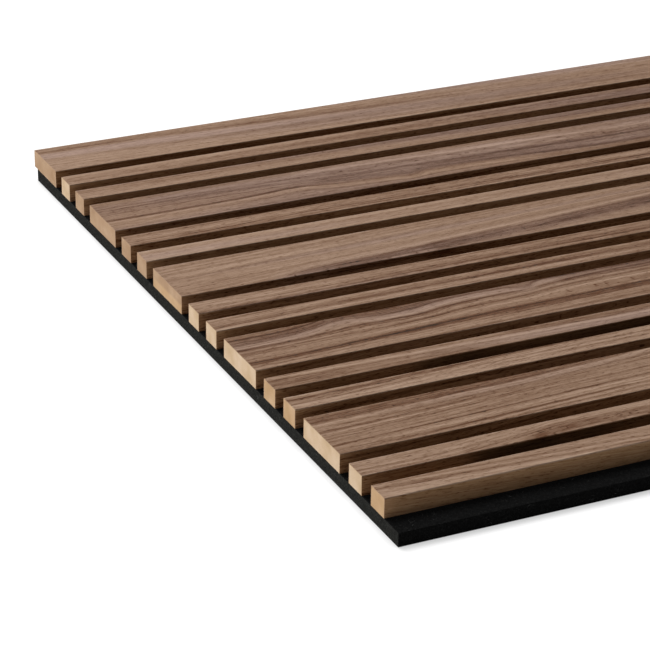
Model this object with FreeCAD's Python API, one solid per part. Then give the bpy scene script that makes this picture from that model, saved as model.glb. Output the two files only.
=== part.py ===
# An acoustic slat wall panel, lying on its back: slats glued and stapled to a felt board.
#
# Frame: millimetres, +X along the slats, +Y across them, +Z up out of the wall face.
# The origin is at the middle of the panel's outline, on the back of the felt, which goes to the wall.
#
# The slats repeat as one wide slat and two narrow ones, with an equal groove after each.
# Each slat is a strip of fibreboard with a walnut veneer folded over its face and both sides.
# Along the rear edge the first slat stands out past the felt, and along the front edge the felt
# stands out past the last slat by a groove and that same overhang, so that panels lap side by side.
# Staples go in from the back through the felt, one line to a narrow slat and a zigzag to a wide one.

import os

import FreeCAD
import Part

PANEL_LENGTH = 2400.0
REPEATS = 5

WIDE_SLAT_WIDTH = 50.0
NARROW_SLAT_WIDTH = 17.0
LAP_SLAT_WIDTH = 46.5
SLAT_HEIGHT = 13.0
GROOVE_WIDTH = 12.0

VENEER_THICKNESS = 0.5

FELT_THICKNESS = 9.0
LAP_OVERHANG = 6.0

STAPLE_CROWN = 10.0
STAPLE_WIRE_WIDTH = 1.2
STAPLE_WIRE_THICKNESS = 0.7
STAPLE_BITE = 7.0
STAPLE_POINT = 0.8
STAPLE_PITCH = 456.0
STAPLE_END_MARGIN = 60.0
STAPLE_SIDE_MARGIN = 13.0

PARTS_FOLDER = "parts"


def slat_widths():
    """The width of each slat, from the rear of the panel to the front."""
    widths = []
    for _ in range(REPEATS):
        widths += [WIDE_SLAT_WIDTH, NARROW_SLAT_WIDTH, NARROW_SLAT_WIDTH]
    widths[0] = LAP_SLAT_WIDTH
    return widths


def slat_run():
    """The distance from the rear side of the first slat to the front side of the last."""
    widths = slat_widths()
    return sum(widths) + GROOVE_WIDTH * (len(widths) - 1)


def felt_width():
    """The width that one panel covers: every slat and one groove after each."""
    return slat_run() + GROOVE_WIDTH


def panel_width():
    """The whole outline, from the overhanging slat to the front edge of the felt."""
    return felt_width() + LAP_OVERHANG


def felt_front():
    """The front edge of the felt, which is the front of the outline."""
    return -panel_width() / 2


def slat_places():
    """The front and rear side of each slat, rear slat first."""
    places = []
    rear = panel_width() / 2
    for width in slat_widths():
        places.append((rear - width, rear))
        rear -= width + GROOVE_WIDTH
    return places


def strip(front, rear, bottom, top):
    """A square-edged strip as long as the panel."""
    corner = FreeCAD.Vector(-PANEL_LENGTH / 2, front, bottom)
    return Part.makeBox(PANEL_LENGTH, rear - front, top - bottom, corner)


def upper_arrises(body, top):
    """The two long upper edges of a strip."""
    found = []
    for edge in body.Edges:
        middle = edge.CenterOfMass
        if abs(middle.z - top) < 0.01 and abs(middle.x) < 0.01:
            found.append(edge)
    return found


def slat_core(front, rear):
    """The fibreboard strip inside a slat, which stands on the felt."""
    top = FELT_THICKNESS + SLAT_HEIGHT - VENEER_THICKNESS
    return strip(front + VENEER_THICKNESS, rear - VENEER_THICKNESS, FELT_THICKNESS, top)


def slat_veneer(front, rear):
    """The veneer of a slat: one even sheet, folded over the face and down both sides of the core.

    The core has square arrises, so the outside of each fold is as round as the sheet is thick.
    """
    top = FELT_THICKNESS + SLAT_HEIGHT
    outside = strip(front, rear, FELT_THICKNESS, top)
    folded = outside.makeFillet(VENEER_THICKNESS, upper_arrises(outside, top))
    return folded.cut(slat_core(front, rear))


def felt_board():
    """The felt board: one flat sheet, flush with the ends of the slats."""
    return strip(felt_front(), felt_front() + felt_width(), 0, FELT_THICKNESS)


def staple(x, y):
    """A staple with its crown flush in the back of the felt and its pointed legs up in a core."""
    half = STAPLE_CROWN / 2
    inner = half - STAPLE_WIRE_THICKNESS
    tip = FELT_THICKNESS + STAPLE_BITE
    outline = [
        (-half, 0),
        (-half, tip - STAPLE_POINT),
        (-inner, tip),
        (-inner, STAPLE_WIRE_THICKNESS),
        (inner, STAPLE_WIRE_THICKNESS),
        (inner, tip),
        (half, tip - STAPLE_POINT),
        (half, 0),
    ]
    front = y - STAPLE_WIRE_WIDTH / 2
    corners = [FreeCAD.Vector(x + along, front, up) for along, up in outline]
    corners.append(corners[0])
    profile = Part.Face(Part.makePolygon(corners))
    return profile.extrude(FreeCAD.Vector(0, STAPLE_WIRE_WIDTH, 0))


def staple_rows():
    """Where the staples stand along the panel, evenly spread between the two end margins."""
    first = -PANEL_LENGTH / 2 + STAPLE_END_MARGIN
    span = PANEL_LENGTH - 2 * STAPLE_END_MARGIN
    spaces = max(round(span / STAPLE_PITCH), 1)
    return [first + span * row / spaces for row in range(spaces + 1)]


def slat_staples(front, rear):
    """The staples of one slat, in a zigzag over its seat on the felt, or in line if it is narrow."""
    seat_rear = min(rear, felt_front() + felt_width())
    middle = (front + seat_rear) / 2
    aside = max((seat_rear - front) / 2 - STAPLE_SIDE_MARGIN, 0)
    found = []
    for row, x in enumerate(staple_rows()):
        side = 1 if row % 2 == 0 else -1
        found.append(staple(x, middle + side * aside))
    return found


def save(shape, name):
    """Write one piece to its own file."""
    shape.exportStep(os.path.join(PARTS_FOLDER, name + ".step"))


def main():
    os.makedirs(PARTS_FOLDER, exist_ok=True)
    staples = []
    for number, (front, rear) in enumerate(slat_places(), start=1):
        own = slat_staples(front, rear)
        staples += own
        label = f"slat_{number:02d}"
        save(slat_core(front, rear).cut(Part.makeCompound(own)), label + "_core")
        save(slat_veneer(front, rear), label + "_veneer")
    all_staples = Part.makeCompound(staples)
    save(felt_board().cut(all_staples), "felt_backing")
    save(all_staples, "back_staples")


main()
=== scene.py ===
# The dressed acoustic slat wall panel: walnut veneer, sawn fibreboard, black felt and steel staples.
#
# Lengths are metres in the part's own frame: +X along the slats, +Y across them to the rear, +Z up.
# The slats are numbered from the rear of the panel to the front.

import math
import random

import bpy
from mathutils import Matrix, Vector

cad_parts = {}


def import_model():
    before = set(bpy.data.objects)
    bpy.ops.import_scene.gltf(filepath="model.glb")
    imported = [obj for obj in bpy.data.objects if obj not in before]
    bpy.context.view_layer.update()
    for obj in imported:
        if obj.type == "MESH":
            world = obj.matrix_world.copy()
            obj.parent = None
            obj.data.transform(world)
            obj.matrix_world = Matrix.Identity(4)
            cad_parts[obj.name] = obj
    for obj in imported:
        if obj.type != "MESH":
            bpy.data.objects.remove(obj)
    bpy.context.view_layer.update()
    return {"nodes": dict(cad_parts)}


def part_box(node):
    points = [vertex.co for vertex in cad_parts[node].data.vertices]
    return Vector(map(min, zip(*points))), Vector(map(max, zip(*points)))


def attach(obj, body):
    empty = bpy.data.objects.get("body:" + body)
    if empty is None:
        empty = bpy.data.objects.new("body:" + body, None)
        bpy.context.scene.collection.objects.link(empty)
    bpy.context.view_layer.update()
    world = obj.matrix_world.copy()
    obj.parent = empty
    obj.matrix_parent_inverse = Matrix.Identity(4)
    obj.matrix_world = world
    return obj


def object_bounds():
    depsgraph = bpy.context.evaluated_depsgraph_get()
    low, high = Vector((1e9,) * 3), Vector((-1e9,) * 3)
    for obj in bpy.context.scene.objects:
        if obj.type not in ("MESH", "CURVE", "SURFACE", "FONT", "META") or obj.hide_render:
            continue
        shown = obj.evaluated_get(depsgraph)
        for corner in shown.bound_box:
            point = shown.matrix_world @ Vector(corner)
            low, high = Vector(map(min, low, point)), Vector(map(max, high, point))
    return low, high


MM = 0.001

WHITE = (1.0, 1.0, 1.0, 1.0)
BLACK = (0.0, 0.0, 0.0, 1.0)

# the camera at the photograph's place, with its angles in degrees and its lens in millimetres
CAMERA_PLACE = Vector((-1.7843, -1.43245, 0.73098))
CAMERA_AZIMUTH = 25.425
CAMERA_PITCH = -25.058
CAMERA_ROLL = 0.639
CAMERA_LENS = 145.6
SENSOR_WIDTH = 36.0
CAMERA_NEAR = 0.05
CAMERA_FAR = 50.0

# the light: the even surround, and each lamp's name, place, the point it faces, its width and its strength
WORLD_STRENGTH = 0.12
LAMPS = [
    ("key", (-1.5, 1.8, 3.1), (-0.9, 0.0, 0.0), 2.0, 1.04),
    ("side", (-3.4, -0.3, 1.3), (-1.1, 0.0, 0.0), 1.4, 0.46),
]

# the floor: half its width, how far it lies under the panel, and the colours that it shows and throws back
FLOOR_HALF = 12.0
FLOOR_GAP = 0.0003
FLOOR_COLOUR = (0.35, 0.35, 0.35, 1.0)
FLOOR_BOUNCE = (0.85, 0.85, 0.85, 1.0)

# its glow, which makes it white in the picture: near the panel, right against it as a share of that, which
# paints a shadow at the panel's foot, how far that painted shadow reaches, and how far from the panel the
# glow starts and stops growing
FLOOR_GLOW = 0.73
CONTACT_SHARE = 0.4
CONTACT_REACH = 0.008
GLOW_START = 0.05
GLOW_END = 1.2

# the loose fibres: how many each open side of the felt bears
LIP_FIBRES = 2400
GROOVE_FIBRES = 130
EDGE_FIBRES = 900
END_FIBRES = 400
FIBRE_SEED = 7

# their form: how long they are, how high they rise, how far and how often they bend to and fro, how thick
# they are, how deep they start in the felt, how far they may turn across a narrow side, in how many steps
# each is made, and how likely one is to end in the air
FIBRE_LENGTH = (0.0012, 0.0042)
FIBRE_RISE = (0.0001, 0.0006)
FIBRE_BEND = 0.0004
FIBRE_HALF_WAVES = 2.6
FIBRE_RADIUS = 0.00006
FIBRE_ROOT = 0.00008
FIBRE_TURN = 0.45
FIBRE_STEPS = 4
LOOSE_END_CHANCE = 0.3


def srgb(red, green, blue):
    """A colour that is given as it looks on a screen, from 0 to 255, as a linear colour."""
    linear = []
    for value in (red, green, blue):
        share = value / 255
        if share <= 0.04045:
            linear.append(share / 12.92)
        else:
            linear.append(((share + 0.055) / 1.055) ** 2.4)
    return (*linear, 1.0)


class Shades:
    """The node tree of a material or of the world, with short calls to add its nodes and join them."""

    def __init__(self, owner):
        owner.use_nodes = True
        self.owner = owner
        self.tree = owner.node_tree
        self.tree.nodes.clear()

    def add(self, kind, inputs=None, **settings):
        """A new node with its settings, whose inputs are set or joined by name or number."""
        node = self.tree.nodes.new(kind)
        for key, value in settings.items():
            setattr(node, key, value)
        for key, value in (inputs or {}).items():
            if isinstance(value, bpy.types.NodeSocket):
                self.tree.links.new(value, node.inputs[key])
            else:
                node.inputs[key].default_value = value
        return node

    def math(self, operation, *values):
        """The result of a calculation on sockets or numbers."""
        return self.add("ShaderNodeMath", dict(enumerate(values)), operation=operation).outputs[0]

    def total(self, first, *others):
        """The sum of sockets or numbers."""
        for other in others:
            first = self.math("ADD", first, other)
        return first

    def less(self, first, second):
        """The first value less the second."""
        return self.math("SUBTRACT", first, second)

    def times(self, first, second):
        """Two values multiplied."""
        return self.math("MULTIPLY", first, second)

    def times_plus(self, first, second, third):
        """Two values multiplied, and a third one added."""
        return self.math("MULTIPLY_ADD", first, second, third)

    def shown(self):
        """One for what the camera sees directly, in a gloss or through glass, and zero for other light."""
        path = self.add("ShaderNodeLightPath").outputs
        seen = self.total(path["Is Camera Ray"], path["Is Glossy Ray"], path["Is Transmission Ray"])
        return self.math("MINIMUM", seen, 1.0)

    def here(self):
        """The point in the part's frame that is shaded."""
        return self.add("ShaderNodeTexCoord").outputs["Object"]

    def coordinates(self):
        """The three coordinates of that point."""
        split = self.add("ShaderNodeSeparateXYZ", {0: self.here()})
        return split.outputs[0], split.outputs[1], split.outputs[2]

    def endways(self):
        """One on the sawn ends, which look along the slats, and zero on the faces and sides."""
        facing = self.add("ShaderNodeTexCoord").outputs["Normal"]
        return self.math("ABSOLUTE", self.add("ShaderNodeSeparateXYZ", {0: facing}).outputs[0])

    def point(self, x, y, z):
        """A point made of three coordinates."""
        return self.add("ShaderNodeCombineXYZ", {0: x, 1: y, 2: z}).outputs[0]

    def bell(self, value, half_width):
        """A smooth bump: one where a value is zero, and fading within its half width on both sides."""
        share = self.math("DIVIDE", value, half_width)
        return self.math("POWER", math.e, self.times(self.times(share, share), -1.0))

    def curve(self, value, reach, points, height):
        """A smooth curve through points. It stays level before the first and after the last."""
        node = self.add("ShaderNodeFloatCurve", {1: self.math("DIVIDE", value, reach)})
        node.mapping.extend = "HORIZONTAL"
        line = node.mapping.curves[0]
        for place, level in points[1:-1]:
            line.points.new(place / reach, level / height)
        for end, (place, level) in ((0, points[0]), (-1, points[-1])):
            line.points[end].location = (place / reach, level / height)
        node.mapping.update()
        return self.times(node.outputs[0], height)

    def noise(self, where, rate=1.0, detail=2.0, roughness=0.5, distortion=0.0):
        """Soft noise about 0.5, with about so many cells in each unit of the point that it is read at."""
        settings = {"Vector": where, "Scale": rate, "Detail": detail, "Roughness": roughness}
        settings["Distortion"] = distortion
        return self.add("ShaderNodeTexNoise", settings).outputs["Fac"]

    def spread(self, noise, size):
        """Noise about zero instead, and stretched to a size."""
        return self.times(self.less(noise, 0.5), size)

    def remap(self, value, low, high, new_low=0.0, new_high=1.0, smooth=False):
        """A value whose range from low to high is stretched to a new one, and held at its ends."""
        inputs = {0: value, 1: low, 2: high, 3: new_low, 4: new_high}
        kind = "SMOOTHSTEP" if smooth else "LINEAR"
        return self.add("ShaderNodeMapRange", inputs, interpolation_type=kind).outputs[0]

    def ramp(self, value, stops):
        """A colour read from a list of positions and colours."""
        node = self.add("ShaderNodeValToRGB", {0: value})
        elements = node.color_ramp.elements
        while len(elements) < len(stops):
            elements.new(1.0)
        for element, (position, colour) in zip(elements, stops):
            element.position = position
            element.color = colour
        return node.outputs[0]

    def mix(self, share, first, second, blend="MIX"):
        """Two colours mixed by a share."""
        # this node has other inputs for numbers, and takes its two colours at 6 and 7
        inputs = {0: share, 6: first, 7: second}
        return self.add("ShaderNodeMix", inputs, data_type="RGBA", blend_type=blend).outputs[2]

    def finish(self, colour, roughness, height, height_scale, **shader):
        """The shader itself, with its bump. Extra values go on its own sockets."""
        bump = self.add("ShaderNodeBump", {"Height": height, "Distance": height_scale, "Strength": 1.0})
        inputs = {"Base Color": colour, "Roughness": roughness}
        inputs.update({key.replace("_", " "): value for key, value in shader.items()})
        inputs["Normal"] = bump.outputs[0]
        shade = self.add("ShaderNodeBsdfPrincipled", inputs)
        self.add("ShaderNodeOutputMaterial", {0: shade.outputs[0]})
        return self.owner


class Streak:
    """A streak of wood beside a course, darker by its depth, or lighter where that is below zero.

    aside is its distance from the course towards the front, and start and end are places along the slat, all
    in millimetres. grey is how much greyer the wood is in it, and shade how much painted shade it lays on
    every colour alike past the folds, where the groove walls lie in shade.
    """

    def __init__(self, aside, half_width, depth, start=None, end=None, grey=0.0, shade=0.0):
        self.aside = aside * MM
        self.half_width = half_width * MM
        self.depth = depth
        self.start = start
        self.end = end
        self.grey = grey
        self.shade = shade


class Course:
    """A line that the grain follows, as places along the slat and across it from its rear side.

    The lengths are millimetres.
    """

    def __init__(self, points, *streaks):
        self.points = [(along * MM, across * MM) for along, across in points]
        self.streaks = streaks


class Figure:
    """The figure of one veneer sheet: its courses, and how light, how grey and how streaky it is.

    fade is how much darker the face gets towards 450 mm from its left end, partly its own tone and partly a
    painted falloff of the light from the left, and side how much darker the sheet is past the folds, partly
    its own tone and partly painted shade. lines and bands are the strength of its fine and its wide streaks,
    and ring is the width of a growth ring in metres.
    """

    def __init__(self, tone, *courses, fade=0.0, side=0.1, grey=0.35, lines=0.5, bands=0.5, ring=0.006):
        self.tone = tone
        self.courses = courses
        self.fade = fade
        self.side = side
        self.grey = grey
        self.lines = lines
        self.bands = bands
        self.ring = ring


FIGURES = [
    # slat 1, at the rear
    Figure(
        0.05,
        Course([(0, 8), (80, 8.5), (150, 11.5), (230, 15), (320, 17.5), (450, 21)],
               Streak(0, 2.4, 0.16, 0, 330), Streak(0, 3.0, 0.06, 330, 700), Streak(8, 4.0, -0.06, 0, 260)),
        Course([(0, 24), (120, 27.5), (250, 31), (400, 33)],
               Streak(0, 3.0, 0.05, 60, 260), Streak(6, 7.0, 0.05, 330, 900)),
        fade=0.05, side=0.17, grey=0.3, lines=0.2, bands=0.25,
    ),
    # slat 2
    Figure(-0.02, Course([(0, 9), (450, 10)]), fade=0.16, side=-0.06, grey=0.5, lines=0.2, bands=0.3),
    # slat 3
    Figure(-0.02, Course([(0, 8), (450, 9)]), fade=0.12, side=-0.03, grey=0.45, lines=0.2, bands=0.25),
    # slat 4
    Figure(
        -0.05,
        Course([(0, 5.5), (150, 5.5), (230, 7.5), (291, 10), (350, 11.5), (410, 14)],
               Streak(0, 2.2, -0.20, 155, 700), Streak(5, 2.4, 0.07, 165, 320),
               Streak(2, 9, 0, 40, 900, grey=0.6)),
        Course([(0, 16), (100, 16), (160, 20), (230, 22), (270, 24), (330, 26), (410, 28)],
               Streak(0, 1.8, 0.08, 10, 110), Streak(0, 2.8, 0.12, 175, 700)),
        Course([(0, 34), (60, 33.3), (110, 31.8), (150, 29.3), (165, 32), (185, 35), (207, 37),
                (220, 38.4), (232, 40.6), (241, 39.2), (250, 37.4), (275, 37.2), (310, 39.5), (345, 43),
                (410, 47)],
               Streak(-1.0, 1.6, 0.26, None, 162), Streak(2.6, 2.0, -0.17, None, 330),
               Streak(-6, 5.0, 0.13, 165, 900)),
        Course([(0, 56), (600, 56)],
               Streak(0, 4.5, -0.10, None, 90), Streak(0, 4.5, 0.08, 180, 300),
               Streak(-12, 5.0, -0.09, None, 105)),
        fade=0.0, side=0.05, grey=0.45, lines=0.26, bands=0.25,
    ),
    # slat 5
    Figure(
        -0.01,
        Course([(0, 14), (60, 13.5), (130, 11), (250, 11.5), (380, 11)],
               Streak(0, 1.2, 0.20, 40, 900), Streak(3.2, 0.8, 0.09, 60, 900), Streak(-4.0, 2.0, -0.06)),
        fade=0.05, side=0.0, grey=0.05, lines=0.4, bands=0.3,
    ),
    # slat 6
    Figure(0.11, Course([(0, 9), (380, 8.5)]), fade=0.08, side=0.05, grey=0.0, lines=0.2, bands=0.22),
    # slat 7
    Figure(
        0.03,
        Course([(0, 24), (100, 19), (137, 17.5), (200, 14.5), (275, 11.5), (345, 7.5)],
               Streak(0, 2.0, 0.08), Streak(4.0, 1.6, -0.04), Streak(-4.0, 4.0, -0.11, None, 120)),
        Course([(0, 38.5), (40, 36.5), (75, 35), (200, 27.5), (280, 22), (345, 18)],
               Streak(0, 1.6, 0.14, 15, 90), Streak(0, 2.0, 0.06, 90, 700)),
        Course([(0, 48), (40, 46.5), (70, 44), (85, 42), (105, 39.5), (150, 37.5), (185, 35),
                (230, 31.5), (275, 28.5), (310, 25.5), (345, 22.5), (450, 14)],
               Streak(-0.4, 1.5, -0.17, 45, 900), Streak(3.6, 2.0, 0.13, 85, 900),
               Streak(7.5, 3.2, 0.14, 90, 900), Streak(12.5, 4.0, 0.13, 110, 900),
               Streak(10, 10, 0.07, 180, 900), Streak(10, 8, 0, 70, 900, grey=0.9)),
        Course([(0, 56), (600, 56)], Streak(0, 5.0, -0.10, None, 40), Streak(0, 5.0, 0.13, 180, 300)),
        fade=0.02, side=0.10, grey=0.12, lines=0.3, bands=0.2,
    ),
    # slat 8
    Figure(
        0.0,
        Course([(0, 15.6), (100, 15), (190, 13), (330, 12.5)],
               Streak(0, 1.4, 0.20), Streak(-4.5, 0.9, 0.07, 60, 900)),
        fade=0.06, side=0.0, grey=0.05, lines=0.35, bands=0.3,
    ),
    # slat 9
    Figure(
        0.0,
        Course([(0, 13), (40, 11.4), (82, 9.7), (130, 8.7), (200, 8.0), (290, 8.2)],
               Streak(-1.0, 1.6, 0.15), Streak(1.0, 1.4, 0.14), Streak(4.0, 1.6, -0.12),
               Streak(-5.5, 2.0, -0.06)),
        fade=0.02, side=-0.08, grey=0.1, lines=0.32, bands=0.3,
    ),
    # slat 10
    Figure(
        -0.01,
        Course([(0, 15), (40, 14), (55, 11.5), (68, 8), (78, 6.5), (88, 7), (100, 10), (112, 10),
                (130, 9), (150, 5.5), (170, 4), (200, 5), (210, 7.5), (216, 7), (223, 3), (240, 2),
                (280, 2)],
               Streak(2.8, 2.0, -0.16), Streak(-1.2, 1.4, 0.19), Streak(-7.0, 4.5, 0.15, None, 150),
               Streak(2.5, 4.0, 0.16, 235, 900), Streak(0, 7, 0, grey=0.7)),
        Course([(0, 21), (50, 20), (75, 17.5), (88, 16.5), (105, 17), (130, 17), (150, 13.5), (185, 11),
                (210, 11), (225, 9.5), (250, 7), (280, 5.5)],
               Streak(0, 1.3, 0.24)),
        Course([(0, 27), (50, 26), (100, 26), (130, 24.5), (165, 20.5), (200, 19), (240, 15), (280, 14)],
               Streak(0, 1.4, 0.18), Streak(5.0, 2.0, -0.05)),
        Course([(0, 41.2), (50, 40.3), (82, 38.6), (110, 37.4), (165, 34.9), (220, 33.4), (280, 32.4)],
               Streak(-1.5, 1.9, 0.21), Streak(1.3, 1.9, 0.21), Streak(6.5, 4.0, -0.13, None, 170)),
        side=-0.04, grey=0.1, lines=0.4, bands=0.25,
    ),
    # slat 11
    Figure(
        0.03,
        Course([(0, 2.6), (80, 4.8), (160, 7.2), (240, 9.8)],
               Streak(0, 1.8, -0.18), Streak(7.0, 4.2, 0.16, None, 150), Streak(-5.5, 2.5, 0.17, 165, 900)),
        # this course lays only painted shade, on the slat's front side from 95 to 900 mm along it
        Course([(0, 23), (600, 23)], Streak(-2.0, 12.0, 0, 95, 900, shade=0.65)),
        fade=-0.05, side=0.02, grey=0.05, lines=0.28, bands=0.2,
    ),
    # slat 12
    Figure(
        0.14,
        Course([(0, 5.2), (50, 4.3), (75, 3.0), (100, 2.4), (130, 1.8), (170, 0.9), (260, 0.3)],
               Streak(0, 2.0, 0.17, None, 300), Streak(3.6, 1.6, -0.08, 20, 300),
               Streak(6.6, 1.2, 0.05, 10, 300)),
        fade=-0.04, side=0.06, grey=0.0, lines=0.55, bands=0.3,
    ),
    # slat 13
    Figure(
        0.01,
        Course([(0, 12.5), (50, 11.5), (100, 9.5), (137, 9), (175, 6.5), (205, 5), (236, 2)],
               Streak(0, 1.6, -0.22), Streak(-6.0, 3.8, 0.12, None, 230), Streak(-2.4, 1.0, 0.12)),
        Course([(0, 25), (50, 23.5), (100, 21.5), (150, 19), (230, 16)],
               Streak(0, 1.2, -0.14, None, 120), Streak(-3.0, 1.6, 0.11, None, 110)),
        Course([(0, 40), (50, 37.5), (80, 36.5), (150, 33.5), (220, 31)],
               Streak(0, 0.8, 0.22), Streak(2.6, 1.0, -0.05)),
        Course([(0, 47.8), (60, 46.2), (100, 44.4), (140, 42.3), (200, 39.8)],
               Streak(0, 1.0, 0.17, 25, 200), Streak(-3.2, 2.4, -0.10, 40, 250)),
        fade=-0.04, side=0.0, grey=-0.05, lines=0.45, bands=0.25, ring=0.0045,
    ),
    # slat 14
    Figure(
        0.08,
        Course([(0, 14), (60, 13.8), (80, 12), (100, 9.5), (120, 7.3), (138, 5.2), (200, 4.5)],
               Streak(0.5, 1.6, 0.10, 70, 150), Streak(7.0, 5.0, 0.19, 110, 260),
               Streak(-2.0, 1.0, 0.07, 10, 70)),
        # this course lays only painted shade, on the slat's front side from 70 to 900 mm along it
        Course([(0, 23), (600, 23)], Streak(-2.0, 12.0, 0, 70, 900, shade=0.67)),
        fade=0.03, side=0.04, grey=0.1, lines=0.42, bands=0.25,
    ),
    # slat 15, at the front
    Figure(
        0.12,
        Course([(0, 6.2), (50, 8.8), (80, 10.6), (110, 12.8), (150, 15), (180, 16.5)],
               Streak(0, 1.3, 0.16), Streak(4.6, 2.6, -0.06)),
        Course([(0, 1.0), (45, 2.6), (75, 4.8), (110, 6.8), (150, 9.4), (180, 12)], Streak(0, 1.1, 0.12)),
        fade=0.02, side=-0.10, grey=0.0, lines=0.3, bands=0.25,
    ),
]

# how far along the slat a course may reach, how far across, and how near it the grain leans with it; the
# least pull keeps the lean from a division by zero
COURSE_REACH = 0.6
COURSE_HEIGHT = 0.08
COURSE_PULL = 0.006
LEAST_PULL = 0.000001

# past the courses the grain sways by itself, and more and more so between these two places along the slat
SWAY_START = 0.5
SWAY_END = 1.0
SWAY = 0.05
SWAY_RATE = 1.5

# everywhere it drifts a little, with so many bends a metre along the slat and across it
DRIFT = 0.0035
DRIFT_ALONG_RATE = 9.0
DRIFT_ACROSS_RATE = 40.0

# the steps in the noise from one sheet to the next, so that no two are alike
SWAY_STEP = 2.9
DRIFT_STEP = 3.7
LAYER_STEP = 5.3
BOARD_STEP = 0.37

# how ragged a streak's edges are, and how far before and after its ends it fades
STREAK_RAG = 0.0016
STREAK_START_FADE = 0.012
STREAK_END_FADE = 0.02

# the walnut's colours by tone, as it mostly is and where it is greyish
GRAIN_COLOURS = [
    (0.00, srgb(28, 19, 12)),
    (0.10, srgb(50, 34, 21)),
    (0.25, srgb(80, 47, 25)),
    (0.50, srgb(129, 102, 82)),
    (0.75, srgb(159, 133, 113)),
    (1.00, srgb(186, 161, 141)),
]
GREY_COLOURS = [
    (0.00, srgb(28, 19, 12)),
    (0.10, srgb(50, 35, 23)),
    (0.25, srgb(79, 52, 37)),
    (0.50, srgb(125, 101, 88)),
    (0.75, srgb(154, 129, 115)),
    (1.00, srgb(181, 157, 143)),
]
SAWN_VENEER = srgb(186, 155, 124)
MIDDLE_TONE = 0.53
FADE_LENGTH = 0.45

# the folds: how far below the face they start and end, the warm painted shade past them, and the painted
# highlight along them
FOLD_START = 0.0003
FOLD_END = 0.0012
PAINTED_FOLD_SHADE = (1.0, 0.85, 0.62, 1.0)
FOLD_HIGHLIGHT = 0.16
FOLD_HIGHLIGHT_WIDTH = 0.0007


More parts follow.
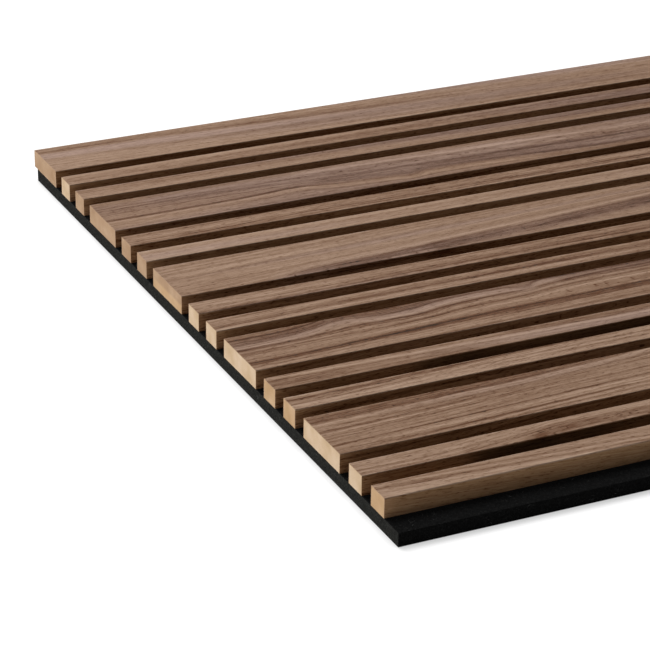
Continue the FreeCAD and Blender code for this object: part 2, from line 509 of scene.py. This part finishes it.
class Veneer:
    """The material of one walnut sheet. Its grain runs on round the folds, as in a real sheet.

    Places on it are measured as it lay before it was folded over its slat.
    """

    def __init__(self, name, node, figure, seed):
        low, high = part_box(node)
        shades = Shades(bpy.data.materials.new(name))
        self.shades = shades
        self.figure = figure
        self.seed = seed
        self.width = high[1] - low[1]
        x, y, z = shades.coordinates()
        from_rear = shades.less(high[1], y)
        side = shades.math("SIGN", shades.less((low[1] + high[1]) / 2, y))
        self.down = shades.less(high[2], z)
        self.along = shades.less(x, low[0])
        self.unfolded = shades.times_plus(side, self.down, from_rear)
        self.folded = shades.remap(self.down, FOLD_START, FOLD_END)
        self.follow_courses()
        self.bands = self.layer(across=95.0, along=2.2, offset=0.0)
        self.lines = self.layer(across=420.0, along=6.0, offset=11.0, detail=3.0, roughness=0.6)
        self.fibres = self.layer(across=1500.0, along=75.0, offset=23.0, roughness=0.65)
        self.pores = self.layer(across=1700.0, along=240.0, offset=37.0, detail=1.0)
        self.greyness = self.layer(across=45.0, along=1.6, offset=53.0, detail=1.0)

    def follow_courses(self):
        """Find the place across the grain, which leans with the nearest course and wanders a little."""
        shades = self.shades
        sway_place = shades.point(shades.times(self.along, SWAY_RATE), self.seed * SWAY_STEP, 0.0)
        reach = shades.remap(self.along, SWAY_START, SWAY_END, 0.0, SWAY)
        sway = shades.spread(shades.noise(sway_place, detail=1.0), reach)
        across = shades.total(self.unfolded, sway)
        # each course, with the distance from it
        self.beside = []
        pull = 0.0
        weight = LEAST_PULL
        for course in self.figure.courses:
            line = shades.curve(self.along, COURSE_REACH, course.points, COURSE_HEIGHT)
            away = shades.less(across, line)
            share = shades.bell(away, COURSE_PULL)
            rise = shades.less(line, course.points[0][1])
            pull = shades.times_plus(share, rise, pull)
            weight = shades.total(share, weight)
            self.beside.append((course, away))
        lean = shades.math("DIVIDE", pull, weight)
        drift_place = shades.point(
            shades.times(self.along, DRIFT_ALONG_RATE),
            shades.times(across, DRIFT_ACROSS_RATE),
            self.seed * DRIFT_STEP,
        )
        drift = shades.spread(shades.noise(drift_place, detail=1.5), DRIFT)
        self.grain = shades.total(shades.less(across, lean), drift)

    def layer(self, across, along, offset, detail=2.0, roughness=0.5):
        """Noise that follows the grain, with about so many cells a metre across it and along it."""
        shades = self.shades
        where = shades.point(
            shades.times(self.along, along),
            shades.times(self.grain, across),
            self.seed * LAYER_STEP + offset,
        )
        return shades.noise(where, detail=detail, roughness=roughness)

    def rings(self):
        """Growth rings: each darkens slowly, then ends in a fine dark line."""
        shades = self.shades
        uneven = shades.spread(self.layer(across=60.0, along=1.0, offset=71.0, detail=1.0), 1.6)
        count = shades.times_plus(self.grain, 1 / self.figure.ring, uneven)
        age = shades.math("FRACT", count)
        late = shades.times(shades.math("POWER", age, 3.0), shades.remap(age, 1.0, 0.93, 0.0, 1.0))
        return shades.times(late, self.layer(across=30.0, along=3.0, offset=83.0, detail=1.0))

    def plain_tone(self):
        """How light the wood is, from 0 to 1, before its streaks."""
        shades = self.shades
        figure = self.figure
        band_depth = 1.2 * figure.bands
        line_depth = 0.20 + 0.9 * figure.lines
        fibre_depth = 0.40 + 0.55 * figure.lines
        ring_depth = 0.70 * figure.lines
        pore_depth = 0.16 + 0.22 * figure.lines
        # partly a painted falloff of the light from the left end, partly the veneer's own tone
        fade = shades.remap(self.along, 0.0, FADE_LENGTH, figure.fade / 2, -figure.fade / 2)
        on_face = shades.less(1.0, self.folded)
        return shades.total(
            MIDDLE_TONE + figure.tone,
            shades.times(fade, on_face),
            shades.spread(self.bands, band_depth),
            shades.spread(self.lines, line_depth),
            shades.spread(self.fibres, fibre_depth),
            shades.times(self.rings(), -ring_depth),
            shades.times(shades.remap(self.pores, 0.58, 0.70), -pore_depth),
        )

    def streak_share(self, streak, away, swell):
        """How strong a streak is at a place: ragged at its edges and fading at its ends."""
        shades = self.shades
        share = shades.bell(shades.less(away, streak.aside), streak.half_width)
        if streak.start is not None:
            low = streak.start * MM - STREAK_START_FADE
            high = streak.start * MM + STREAK_START_FADE
            share = shades.times(share, shades.remap(self.along, low, high, smooth=True))
        if streak.end is not None:
            low = streak.end * MM - STREAK_END_FADE
            high = streak.end * MM + STREAK_END_FADE
            share = shades.times(share, shades.remap(self.along, low, high, 1.0, 0.0, smooth=True))
        return shades.times(share, swell)

    def streaked(self, tone):
        """The tone with its streaks, how grey they make the wood, and how much light their painted shade
        leaves it.
        """
        shades = self.shades
        ragged = shades.spread(self.lines, STREAK_RAG)
        patches = self.layer(across=20.0, along=14.0, offset=97.0, detail=1.0)
        swell = shades.remap(patches, 0.3, 0.7, 0.75, 1.25)
        greyed = 0.0
        light = 1.0
        for course, away in self.beside:
            ragged_away = shades.total(away, ragged)
            for streak in course.streaks:
                share = self.streak_share(streak, ragged_away, swell)
                tone = shades.times_plus(share, -streak.depth, tone)
                greyed = shades.times_plus(share, streak.grey, greyed)
                # painted shade: the streak dims every colour past the folds, on the groove walls
                light = shades.times_plus(shades.times(share, self.folded), -streak.shade, light)
        return tone, greyed, light

    def painted_fold_highlight(self):
        """A painted highlight along the folds, in patches, where the arrises catch the light."""
        shades = self.shades
        rear_fold = shades.math("ABSOLUTE", self.unfolded)
        front_fold = shades.math("ABSOLUTE", shades.less(self.unfolded, self.width))
        near = shades.bell(shades.math("MINIMUM", rear_fold, front_fold), FOLD_HIGHLIGHT_WIDTH)
        patches = self.layer(across=30.0, along=40.0, offset=113.0, detail=1.0)
        return shades.times(near, shades.remap(patches, 0.35, 0.65))

    def colour(self):
        """The colour of the wood, with a warm painted shade past the folds, and paler where it is sawn."""
        shades = self.shades
        tone, greyed, light = self.streaked(self.plain_tone())
        # darker past the folds, slat by slat: partly the veneer's own tone, partly painted shade
        tone = shades.times_plus(self.folded, -self.figure.side, tone)
        # a painted highlight, lighter along the folds
        tone = shades.times_plus(self.painted_fold_highlight(), FOLD_HIGHLIGHT, tone)
        grey_shift = 0.35 * self.figure.grey
        grey_share = shades.remap(self.greyness, 0.62 - grey_shift, 0.80 - grey_shift)
        warm = shades.ramp(tone, GRAIN_COLOURS)
        grey = shades.ramp(tone, GREY_COLOURS)
        wood = shades.mix(shades.total(grey_share, greyed), warm, grey)
        # painted shade laid by the streaks past the folds
        painted_shade_wood = shades.mix(light, BLACK, wood)
        # painted shade: the sheet is tinted warmer and darker past the folds, where the groove walls lie in
        # shade
        wrapped = shades.mix(self.folded, painted_shade_wood, PAINTED_FOLD_SHADE, "MULTIPLY")
        return shades.mix(shades.remap(shades.endways(), 0.5, 0.9, 0.0, 0.65), wrapped, SAWN_VENEER)

    def material(self):
        """The finished material: matt, with its fibres raised and its pores sunk."""
        shades = self.shades
        roughness = shades.remap(self.fibres, 0.3, 0.7, 0.62, 0.50)
        height = shades.total(
            shades.times(self.fibres, 0.35),
            shades.times(self.lines, 0.4),
            shades.times(shades.remap(self.pores, 0.60, 0.72), -0.6),
        )
        return shades.finish(self.colour(), roughness, height, 0.00010, Specular_IOR_Level=0.05)


# the kinds of fibreboard, each from its shaded specks to its palest blotches
PALE_BOARD = [srgb(195, 167, 133), srgb(203, 176, 144), srgb(208, 182, 152), srgb(214, 190, 162)]
TAN_BOARD = [srgb(180, 146, 106), srgb(189, 155, 117), srgb(194, 161, 125), srgb(202, 171, 137)]
DULL_BOARD = [srgb(160, 127, 96), srgb(170, 138, 108), srgb(175, 144, 114), srgb(183, 153, 124)]
BLOTCH_STOPS = (0.30, 0.45, 0.57, 0.72)
BOARD_BLEND = 0.001
DARK_SPECK = srgb(128, 96, 64)
PALE_SPECK = srgb(232, 212, 186)

# each slat's board, in its upper and its lower half
BOARDS = [
    (DULL_BOARD, DULL_BOARD), (PALE_BOARD, PALE_BOARD), (DULL_BOARD, DULL_BOARD),
    (DULL_BOARD, DULL_BOARD), (DULL_BOARD, DULL_BOARD), (DULL_BOARD, DULL_BOARD),
    (DULL_BOARD, TAN_BOARD), (PALE_BOARD, PALE_BOARD), (PALE_BOARD, PALE_BOARD),
    (PALE_BOARD, PALE_BOARD), (TAN_BOARD, TAN_BOARD), (TAN_BOARD, TAN_BOARD),
    (PALE_BOARD, PALE_BOARD), (PALE_BOARD, PALE_BOARD), (TAN_BOARD, TAN_BOARD),
]


def fibreboard(name, node, halves, seed):
    """Sawn fibreboard: pale and faintly blotchy, with fine specks and the marks of the saw."""
    low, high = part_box(node)
    shades = Shades(bpy.data.materials.new(name))
    x, y, z = shades.coordinates()
    moved = shades.point(x, y, shades.total(z, seed * BOARD_STEP))
    blotches = shades.noise(moved, rate=70.0)
    specks = shades.noise(moved, rate=1600.0, detail=3.0, roughness=0.7)
    # the saw's marks are fine across the end, and long up and down it
    saw = shades.noise(shades.point(shades.times(y, 1500.0), shades.times(z, 60.0), shades.times(x, 300.0)))
    upper, lower = [shades.ramp(blotches, list(zip(BLOTCH_STOPS, board))) for board in halves]
    middle = (low[2] + high[2]) / 2
    base = shades.mix(shades.remap(z, middle - BOARD_BLEND, middle + BOARD_BLEND), lower, upper)
    speckled = shades.mix(shades.remap(specks, 0.42, 0.30, 0.0, 0.30), base, DARK_SPECK)
    colour = shades.mix(shades.remap(specks, 0.60, 0.75, 0.0, 0.25), speckled, PALE_SPECK)
    height = shades.total(specks, shades.times(saw, 0.8))
    return shades.finish(colour, 0.85, height, 0.00010, Specular_IOR_Level=0.2)


def felt(name):
    """Black needled felt: tangled fibres with a little pale lint, and paler at the ends, partly its cut
    fibres and partly painted light.
    """
    shades = Shades(bpy.data.materials.new(name))
    where = shades.here()
    tangle = shades.noise(where, rate=900.0, detail=3.0, roughness=0.65, distortion=1.2)
    tufts = shades.noise(where, rate=170.0)
    lint = shades.noise(where, rate=520.0, detail=1.0, distortion=2.5)
    pressed = shades.ramp(tangle, [(0.30, srgb(8, 8, 8)), (0.52, srgb(17, 17, 17)), (0.72, srgb(34, 34, 34))])
    # the ends: partly the felt's paler cut fibres, partly painted light
    cut_ends_and_painted_light = shades.ramp(tangle, [(0.30, srgb(25, 25, 24)), (0.52, srgb(42, 42, 40)), (0.72, srgb(60, 60, 58))])
    base = shades.mix(shades.remap(shades.endways(), 0.4, 0.9), pressed, cut_ends_and_painted_light)
    colour = shades.mix(shades.remap(lint, 0.70, 0.80, 0.0, 0.35), base, srgb(66, 66, 65))
    height = shades.total(tangle, shades.times(tufts, 0.7))
    return shades.finish(colour, 1.0, height, 0.0006, Specular_IOR_Level=0.01)


def fibre_shade(name):
    """Loose fibres, a little paler than the felt they stand out of, and a few of them as pale as lint."""
    shades = Shades(bpy.data.materials.new(name))
    where = shades.here()
    patches = shades.noise(where, rate=130.0, detail=3.0, roughness=0.6)
    stops = [(0.30, srgb(20, 20, 20)), (0.55, srgb(42, 42, 41)), (0.68, srgb(104, 104, 102))]
    fuzz = shades.noise(where, rate=4000.0, detail=1.0)
    return shades.finish(shades.ramp(patches, stops), 0.9, fuzz, 0.00001, Specular_IOR_Level=0.05)


def staple_wire(name):
    """Plain galvanised wire."""
    shades = Shades(bpy.data.materials.new(name))
    mottle = shades.noise(shades.here(), rate=900.0, detail=3.0)
    colour = shades.ramp(mottle, [(0.3, srgb(150, 152, 155)), (0.7, srgb(196, 198, 201))])
    roughness = shades.remap(mottle, 0.3, 0.7, 0.28, 0.45)
    return shades.finish(colour, roughness, mottle, 0.00003, Metallic=1.0)


def dress(obj, material):
    """Give an object one material in place of what it has."""
    obj.data.materials.clear()
    obj.data.materials.append(material)


def dress_slats(nodes):
    """Give each slat its own sheet of veneer and its own board."""
    for number, (figure, halves) in enumerate(zip(FIGURES, BOARDS), start=1):
        label = f"slat_{number:02d}"
        sheet = Veneer(f"walnut_{number:02d}", label + "_veneer", figure, number)
        dress(nodes[label + "_veneer"], sheet.material())
        dress(nodes[label + "_core"], fibreboard(f"fibreboard_{number:02d}", label + "_core", halves, number))


class Side:
    """One open side of the felt: a corner, its two edges there, and how many fibres it bears.

    The cross product of the two edges points out of the felt.
    """

    def __init__(self, corner, long_edge, short_edge, fibres):
        self.corner = Vector(corner)
        self.long_edge = Vector(long_edge)
        self.short_edge = Vector(short_edge)
        self.outward = self.long_edge.cross(self.short_edge).normalized()
        self.fibres = fibres


def felt_sides():
    """The sides of the felt that lie open: its lip, the floors of the grooves and its four edges."""
    low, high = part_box("felt_backing")
    along = (high[0] - low[0], 0, 0)
    across = (0, high[1] - low[1], 0)
    up = (0, 0, high[2] - low[2])
    down = (0, 0, low[2] - high[2])
    sides = []
    fibres = LIP_FIBRES
    front = low[1]
    for number in range(len(FIGURES), 0, -1):
        foot_low, foot_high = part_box(f"slat_{number:02d}_veneer")
        sides.append(Side((low[0], front, high[2]), along, (0, foot_low[1] - front, 0), fibres))
        fibres = GROOVE_FIBRES
        front = foot_high[1]
    sides.append(Side((low[0], low[1], low[2]), along, up, EDGE_FIBRES))
    sides.append(Side((low[0], high[1], high[2]), along, down, EDGE_FIBRES))
    sides.append(Side((low[0], low[1], high[2]), across, down, END_FIBRES))
    sides.append(Side((high[0], low[1], low[2]), across, up, END_FIBRES))
    return sides


def loose_fibre(side, chance):
    """The centre line of one fibre: a bent arc that leaves the felt and comes back, or ends in the air."""
    length = chance.uniform(*FIBRE_LENGTH)
    long_way = side.long_edge.normalized()
    short_way = side.short_edge.normalized()
    room = side.short_edge.length
    lean = min(FIBRE_TURN * room / length, 1.0)
    turn = math.asin(chance.uniform(-lean, lean))
    heading = math.cos(turn) * long_way + math.sin(turn) * short_way
    aside = side.outward.cross(heading)
    reach = abs(length * math.sin(turn)) / 2 + FIBRE_BEND
    middle = side.corner + chance.uniform(length, side.long_edge.length - length) * long_way
    middle += chance.uniform(reach, max(room - reach, reach)) * short_way
    bend = chance.uniform(-FIBRE_BEND, FIBRE_BEND)
    rise = chance.uniform(*FIBRE_RISE)
    is_loose_end = chance.random() < LOOSE_END_CHANCE
    points = []
    for step in range(FIBRE_STEPS + 1):
        share = step / FIBRE_STEPS
        arch = math.sin(math.pi * share / 2) ** 2 if is_loose_end else math.sin(math.pi * share)
        sway = math.sin(FIBRE_HALF_WAVES * math.pi * share) * bend
        height = rise * arch - FIBRE_ROOT
        points.append(middle + (share - 0.5) * length * heading + sway * aside + height * side.outward)
    return points


def add_tube(corners, faces, line, outward):
    """A closed three-sided tube along a line, thickest in its middle."""
    first = len(corners)
    last = len(line) - 1
    for step, place in enumerate(line):
        heading = (line[min(step + 1, last)] - line[max(step - 1, 0)]).normalized()
        aside = heading.cross(outward).normalized()
        upward = aside.cross(heading)
        radius = FIBRE_RADIUS * (1.0 - 0.5 * abs(2 * step / last - 1))
        for third in range(3):
            angle = 2 * math.pi * third / 3
            corners.append(place + radius * (math.cos(angle) * upward + math.sin(angle) * aside))
    for step in range(last):
        ring = first + 3 * step
        for third in range(3):
            after = (third + 1) % 3
            faces.append((ring + third, ring + after, ring + 3 + after, ring + 3 + third))
    end = first + 3 * last
    faces.append((first + 2, first + 1, first))
    faces.append((end, end + 1, end + 2))


def make_felt_fibres():
    """The loose fibres that stand out of the felt where it lies open, as one piece."""
    chance = random.Random(FIBRE_SEED)
    corners = []
    faces = []
    for side in felt_sides():
        for _ in range(side.fibres):
            add_tube(corners, faces, loose_fibre(side, chance), side.outward)
    mesh = bpy.data.meshes.new("felt_fibres")
    mesh.from_pydata(corners, [], faces)
    mesh.polygons.foreach_set("use_smooth", [True] * len(mesh.polygons))
    piece = bpy.data.objects.new("felt_fibres", mesh)
    bpy.context.scene.collection.objects.link(piece)
    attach(piece, "root")
    dress(piece, fibre_shade("loose_fibres"))


def make_camera():
    """The camera at the photograph's place and angle."""
    data = bpy.data.cameras.new("camera")
    data.lens = CAMERA_LENS
    data.sensor_width = SENSOR_WIDTH
    data.clip_start = CAMERA_NEAR
    data.clip_end = CAMERA_FAR
    camera = bpy.data.objects.new("camera", data)
    bpy.context.scene.collection.objects.link(camera)
    turn = Matrix.Rotation(math.radians(-CAMERA_AZIMUTH), 4, "Z")
    tilt = Matrix.Rotation(math.radians(90 + CAMERA_PITCH), 4, "X")
    roll = Matrix.Rotation(math.radians(CAMERA_ROLL), 4, "Z")
    camera.matrix_world = Matrix.Translation(CAMERA_PLACE) @ turn @ tilt @ roll
    bpy.context.scene.camera = camera


def make_lamp(name, place, target, width, strength):
    """A soft square lamp. Its strength is the light it gives to a plain surface that faces it."""
    ray = Vector(target) - Vector(place)
    data = bpy.data.lights.new(name, "AREA")
    data.shape = "SQUARE"
    data.size = width
    data.energy = strength * math.pi * math.pi * ray.length * ray.length
    lamp = bpy.data.objects.new(name, data)
    bpy.context.scene.collection.objects.link(lamp)
    lamp.matrix_world = Matrix.Translation(place) @ ray.to_track_quat("-Z", "Y").to_matrix().to_4x4()


def make_world():
    """A dim even surround, which the camera and the gloss see as white."""
    world = bpy.data.worlds.new("world")
    bpy.context.scene.world = world
    shades = Shades(world)
    strength = shades.times_plus(shades.shown(), 1.0 - WORLD_STRENGTH, WORLD_STRENGTH)
    shade = shades.add("ShaderNodeBackground", {"Color": WHITE, "Strength": strength})
    shades.add("ShaderNodeOutputWorld", {0: shade.outputs[0]})


def floor_shade(name, half_length, half_width):
    """A pale floor that is seen as white away from a panel of this size, and keeps the shade close to it:
    partly cast, partly painted where its glow is dimmed.
    """
    shades = Shades(bpy.data.materials.new(name))
    shown = shades.shown()
    matt = shades.add("ShaderNodeBsdfDiffuse", {"Color": shades.mix(shown, FLOOR_BOUNCE, FLOOR_COLOUR)})
    # painted shadow: the glow is dimmed where the panel is close, by an occlusion test
    open_share = shades.add("ShaderNodeAmbientOcclusion", {"Distance": CONTACT_REACH}).outputs["AO"]
    near_glow = shades.remap(open_share, 0.0, 1.0, CONTACT_SHARE * FLOOR_GLOW, FLOOR_GLOW)
    x, y, _ = shades.coordinates()
    beyond_end = shades.less(shades.math("ABSOLUTE", x), half_length)
    beyond_side = shades.less(shades.math("ABSOLUTE", y), half_width)
    away = shades.math("MAXIMUM", beyond_end, beyond_side)
    far_glow = shades.remap(away, GLOW_START, GLOW_END, 0.0, 1.0 - FLOOR_GLOW)
    strength = shades.times(shown, shades.total(near_glow, far_glow))
    glow = shades.add("ShaderNodeEmission", {"Color": WHITE, "Strength": strength})
    both = shades.add("ShaderNodeAddShader", {0: matt.outputs[0], 1: glow.outputs[0]})
    shades.add("ShaderNodeOutputMaterial", {0: both.outputs[0]})
    return shades.owner


def make_floor():
    """The floor just under the panel."""
    low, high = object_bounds()
    depth = low[2] - FLOOR_GAP
    corners = [
        (-FLOOR_HALF, -FLOOR_HALF, depth),
        (FLOOR_HALF, -FLOOR_HALF, depth),
        (FLOOR_HALF, FLOOR_HALF, depth),
        (-FLOOR_HALF, FLOOR_HALF, depth),
    ]
    mesh = bpy.data.meshes.new("floor")
    mesh.from_pydata(corners, [], [(0, 1, 2, 3)])
    floor = bpy.data.objects.new("floor", mesh)
    bpy.context.scene.collection.objects.link(floor)
    dress(floor, floor_shade("floor", high[0], high[1]))


def main():
    """Load the frame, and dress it."""
    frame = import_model()
    nodes = frame["nodes"]
    bpy.context.scene.view_settings.view_transform = "Standard"
    make_camera()
    make_world()
    make_floor()
    for lamp in LAMPS:
        make_lamp(*lamp)
    dress_slats(nodes)
    dress(nodes["felt_backing"], felt("black_felt"))
    dress(nodes["back_staples"], staple_wire("staple_wire"))
    make_felt_fibres()


main()
